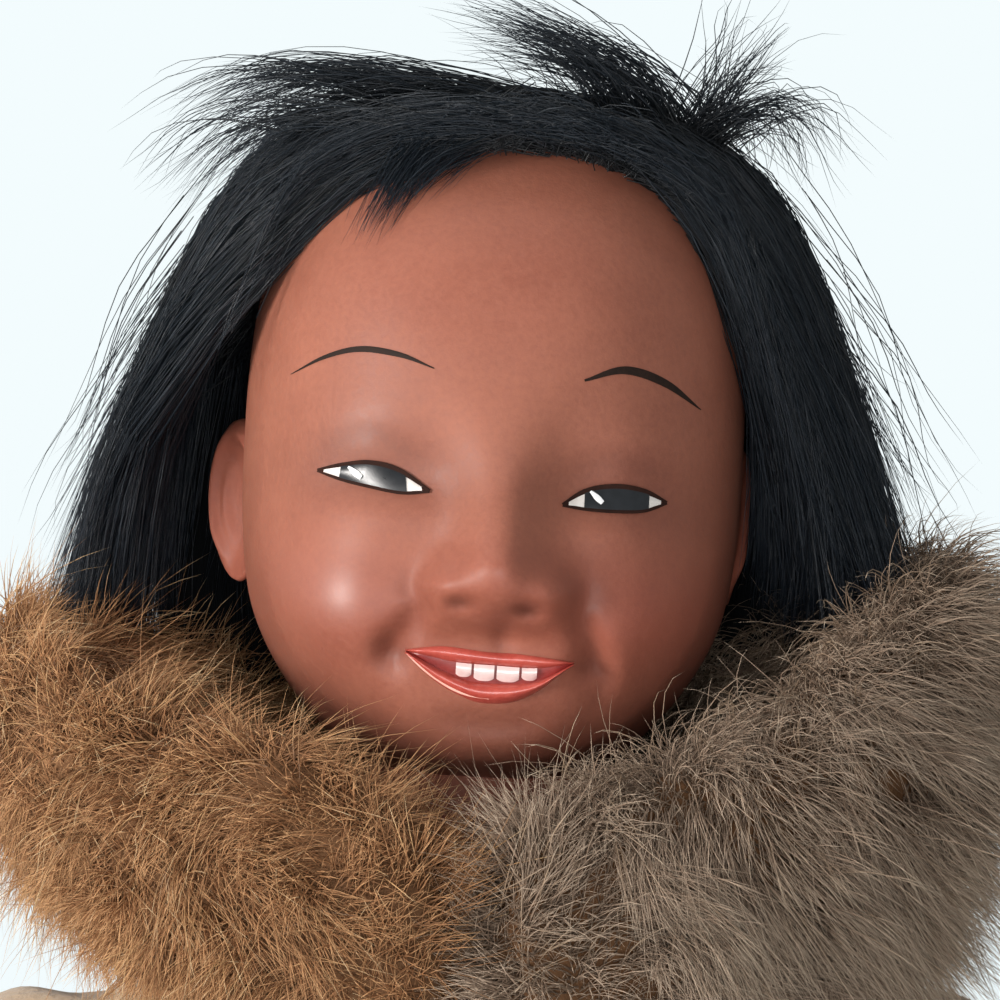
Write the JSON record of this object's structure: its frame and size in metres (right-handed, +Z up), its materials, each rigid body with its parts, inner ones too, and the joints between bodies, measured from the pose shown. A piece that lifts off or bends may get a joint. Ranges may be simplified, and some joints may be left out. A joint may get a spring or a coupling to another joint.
{
  "type": "inuit doll",
  "caption": "Standing strung doll of an Inuit child: round brown smiling face, black bob wig, thick brown fur collar on a cream hide parka, trousers and boots.",
  "frame": {"origin": "on the floor under the middle of the doll's bounding box, between the soles", "axes": "+Z up along the standing doll; the doll faces -Y; +X is the doll's left"},
  "size_m": [0.1822, 0.1112, 0.4075],
  "materials": {
    "skin": "painted, satin",
    "hair": "satin",
    "wig_net": "matte",
    "fur": "matte",
    "hide": "matte suede",
    "lining": "matte",
    "trouser_cloth": "matte",
    "boot_hide": "matte",
    "sole_hide": "matte",
    "elastic": "matte",
    "washer_steel": "brushed",
    "felt": "matte",
    "button_wood": "matte"
  },
  "bodies": {
    "torso": {"torso_front": "skin", "torso_back": "skin", "neck_elastic": "elastic", "arm_elastic": "elastic", "leg_elastic": "elastic", "trouser_seat": "trouser_cloth", "parka_body": "hide", "parka_hem_fur": "fur", "collar_lining": "lining", "collar_left": "fur", "collar_right": "fur"},
    "neck_tilt": {"neck_liner": "felt"},
    "neck_nod": {"neck_button": "button_wood"},
    "head": {"head_shell": "skin", "crown_pate": "felt", "wig_cap": "wig_net", "hair_crown": "hair", "hair_left": "hair", "hair_right": "hair", "hair_back": "hair"},
    "arm_left": {"arm_left": "skin", "arm_washer_left": "washer_steel", "sleeve_left": "hide", "cuff_fur_left": "fur", "mitten_left": "boot_hide"},
    "leg_left": {"leg_left": "skin", "leg_washer_left": "washer_steel", "trouser_leg_left": "trouser_cloth", "boot_upper_left": "boot_hide", "boot_sole_left": "sole_hide", "boot_fur_left": "fur", "boot_tie_left": "hide"},
    "arm_right": {"arm_right": "skin", "arm_washer_right": "washer_steel", "sleeve_right": "hide", "cuff_fur_right": "fur", "mitten_right": "boot_hide"},
    "leg_right": {"leg_right": "skin", "leg_washer_right": "washer_steel", "trouser_leg_right": "trouser_cloth", "boot_upper_right": "boot_hide", "boot_sole_right": "sole_hide", "boot_fur_right": "fur", "boot_tie_right": "hide"}
  },
  "joints": [
    {"name": "head_tilt", "type": "hinge", "parent": "torso", "child": "neck_tilt", "pos_m": [0, 0, 0.318], "axis": [0, 1, 0], "range_deg": [-11, 5]},
    {"name": "head_nod", "type": "hinge", "parent": "neck_tilt", "child": "neck_nod", "pos_m": [0, 0, 0.318], "axis": [1, 0, 0], "range_deg": [-6, 6]},
    {"name": "head_turn", "type": "hinge", "parent": "neck_nod", "child": "head", "pos_m": [0, 0, 0.318], "axis": [0.0523, 0, 0.9986], "range_deg": [-60, 60]},
    {"name": "shoulder_left", "type": "hinge", "parent": "torso", "child": "arm_left", "pos_m": [0, 0, 0.28], "axis": [-1, 0, 0], "range_deg": [-40, 90]},
    {"name": "hip_left", "type": "hinge", "parent": "torso", "child": "leg_left", "pos_m": [0, 0, 0.16], "axis": [-1, 0, 0], "range_deg": [-20, 90]},
    {"name": "shoulder_right", "type": "hinge", "parent": "torso", "child": "arm_right", "pos_m": [0, 0, 0.28], "axis": [-1, 0, 0], "range_deg": [-40, 90]},
    {"name": "hip_right", "type": "hinge", "parent": "torso", "child": "leg_right", "pos_m": [0, 0, 0.16], "axis": [-1, 0, 0], "range_deg": [-20, 90]}
  ]
}
